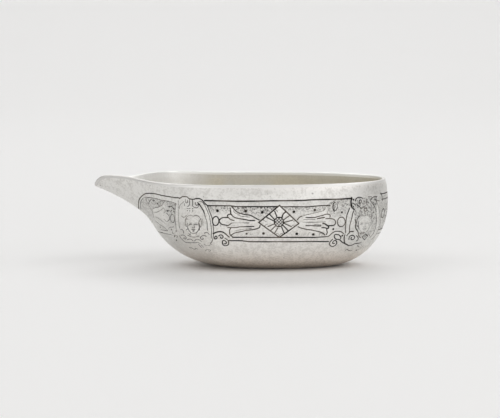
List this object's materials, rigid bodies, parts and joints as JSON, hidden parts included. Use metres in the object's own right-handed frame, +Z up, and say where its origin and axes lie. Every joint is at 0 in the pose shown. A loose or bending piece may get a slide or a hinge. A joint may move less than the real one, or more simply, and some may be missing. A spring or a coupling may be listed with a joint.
{
  "type": "pap boat",
  "caption": "Shallow open oval bowl with a flat base, drawn out at one end into a narrow pouring lip, its edge finished with a wire. A cup for feeding an invalid or a child.",
  "frame": {"origin": "on the surface the boat rests on, under the middle of its overall length and width", "axes": "+X along the boat from the lip to the round end, +Z up out of the open bowl, +Y across it"},
  "size_m": [0.1198, 0.064, 0.0374],
  "materials": {
    "silver_body": "satin",
    "silver_wire": "satin"
  },
  "bodies": {
    "root": {"bowl": "silver_body", "rim_wire": "silver_wire"}
  },
  "joints": []
}
